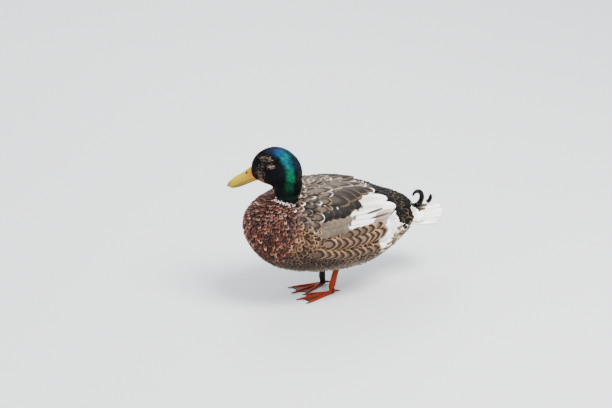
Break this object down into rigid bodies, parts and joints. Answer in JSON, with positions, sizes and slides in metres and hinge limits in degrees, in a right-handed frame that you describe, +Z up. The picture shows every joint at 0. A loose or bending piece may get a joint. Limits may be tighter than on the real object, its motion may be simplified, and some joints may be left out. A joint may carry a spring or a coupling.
{
  "type": "mallard drake, standing model",
  "caption": "Life-size still model of a standing mallard drake in patchy moult plumage, head turned to its right, webbed feet flat on the floor.",
  "frame": {"origin": "middle of the bird's box on the floor that the soles stand on", "axes": "+Z up, -Y the way the body faces, +X to the bird's own left"},
  "size_m": [0.1384, 0.3262, 0.2368],
  "materials": {
    "head_plumage": "fine glossy feathers, green and blue sheen over black",
    "body_plumage": "overlapping brown body feathers with dark centres and buff edges",
    "wing_plumage": "grey-brown covert feathers with a white patch",
    "tail_plumage": "broad off-white tail feathers",
    "curl_plumage": "narrow glossy black curled feathers",
    "bill_skin": "smooth yellow bill skin over horn, satin",
    "eye": "wet dark brown eye",
    "foot_skin": "orange-red scaled skin, webs between the toes",
    "claw": "dark horn"
  },
  "bodies": {
    "root": {"trunk": "body_plumage", "neck": "head_plumage", "head": "head_plumage", "bill_upper": "bill_skin", "bill_lower": "bill_skin", "eye_left": "eye", "eye_right": "eye", "wing_left": "wing_plumage", "wing_right": "wing_plumage", "tail": "tail_plumage", "tail_curl_long": "curl_plumage", "tail_curl_short": "curl_plumage", "leg_left": "foot_skin", "foot_left": "foot_skin", "claw_left_outer": "claw", "claw_left_middle": "claw", "claw_left_inner": "claw", "claw_left_hind": "claw", "leg_right": "foot_skin", "foot_right": "foot_skin", "claw_right_outer": "claw", "claw_right_middle": "claw", "claw_right_inner": "claw", "claw_right_hind": "claw"}
  },
  "joints": []
}
